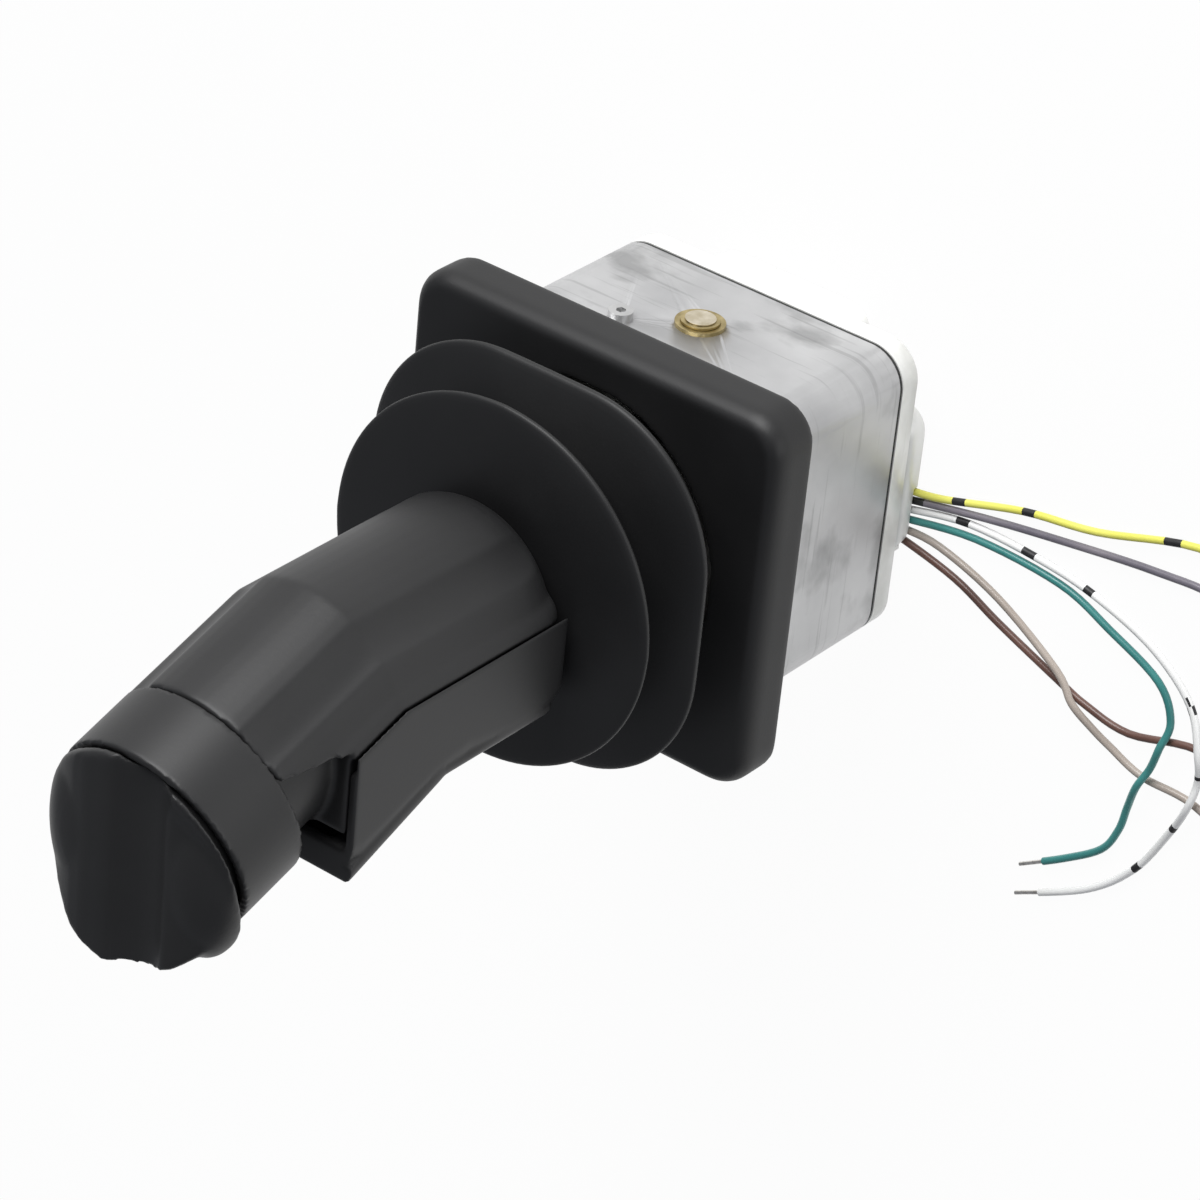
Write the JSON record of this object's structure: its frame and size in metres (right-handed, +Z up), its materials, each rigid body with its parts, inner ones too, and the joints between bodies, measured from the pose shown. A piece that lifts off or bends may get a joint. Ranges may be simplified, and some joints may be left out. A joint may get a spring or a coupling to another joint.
{
  "type": "industrial joystick",
  "caption": "Panel-mount industrial joystick: square die-cast gimbal housing, ribbed rubber gaiter, bent hand grip with press trigger and thumb rocker, flying leads.",
  "frame": {"origin": "centre of the bolt pattern, at the underside of the mounting plate, which is the panel face, on the lever's axis", "axes": "+Z up along the upright lever towards the grip, +X to the side where the leads leave, -Y to the trigger side"},
  "size_m": [0.2149, 0.139, 0.2183],
  "materials": {
    "zinc_plate": "satin zinc plated",
    "cast_housing": "die-cast, lightly brushed",
    "cast_cover": "die-cast, pale",
    "steel": "satin",
    "shaft_steel": "turned",
    "bush_brass": "satin",
    "pin_steel": "yellow zinc",
    "yoke_metal": "matte",
    "black_rubber": "matte",
    "gasket_rubber": "matte",
    "grip_plastic": "satin charcoal",
    "rocker_plastic": "satin charcoal",
    "black_plastic": "moulded",
    "dish_plastic": "smooth natural",
    "board_green": "coated board",
    "yellow_pvc": "wire insulation",
    "grey_pvc": "wire insulation",
    "white_pvc": "wire insulation",
    "green_pvc": "wire insulation",
    "beige_pvc": "wire insulation",
    "brown_pvc": "wire insulation"
  },
  "bodies": {
    "base": {"mounting_plate": "zinc_plate", "housing": "cast_housing", "plate_screws": "steel", "side_screw": "steel", "gate_plate": "steel", "gate_screws": "steel", "pivot_bushes": "bush_brass", "sensor_x": "black_plastic", "cam_dish": "dish_plastic", "lead_board": "board_green", "board_screws": "steel", "gasket": "gasket_rubber", "rear_cover": "cast_cover", "cover_screws": "steel", "lead_grommet": "black_rubber", "lead_yellow": "yellow_pvc", "lead_grey": "grey_pvc", "lead_white": "white_pvc", "lead_green": "green_pvc", "lead_beige": "beige_pvc", "lead_brown": "brown_pvc", "gaiter_skirt": "black_rubber", "gaiter_lower": "black_rubber"},
    "gimbal": {"yoke": "yoke_metal", "trunnion_pins": "pin_steel", "retaining_rings": "bush_brass", "sensor_y": "black_plastic"},
    "lever": {"cross_pin": "steel", "lever_shaft": "shaft_steel", "plunger": "bush_brass", "plunger_spring": "steel", "gaiter_upper": "black_rubber", "grip_body": "grip_plastic", "grip_nut": "steel", "head_cap": "grip_plastic", "cap_screws": "steel", "rocker_pin": "steel", "rocker_switches": "black_plastic", "trigger_pin": "steel", "trigger_spring": "steel", "trigger_switch": "black_plastic"},
    "trigger": {"trigger": "grip_plastic"},
    "rocker": {"thumb_rocker": "rocker_plastic"}
  },
  "joints": [
    {"name": "gimbal_tilt", "type": "hinge", "parent": "base", "child": "gimbal", "pos_m": [0, 0, -0.025], "axis": [0, 1, 0], "range_deg": [-20, 20], "stiffness_Nm_per_rad": 3, "deforming": ["gaiter_lower"]},
    {"name": "lever_tilt", "type": "hinge", "parent": "gimbal", "child": "lever", "pos_m": [0, 0, -0.025], "axis": [1, 0, 0], "range_deg": [-20, 20], "stiffness_Nm_per_rad": 3, "deforming": ["gaiter_upper"]},
    {"name": "trigger_press", "type": "hinge", "parent": "lever", "child": "trigger", "pos_m": [0, -0.008, 0.054], "axis": [1, 0, 0], "range_deg": [-3, 0], "stiffness_Nm_per_rad": 1, "deforming": ["trigger_spring"]},
    {"name": "rocker_tilt", "type": "hinge", "parent": "lever", "child": "rocker", "pos_m": [0, -0.01413, 0.1412], "axis": [0, 0.9455, 0.3256], "range_deg": [-3, 3], "stiffness_Nm_per_rad": 0.8}
  ]
}
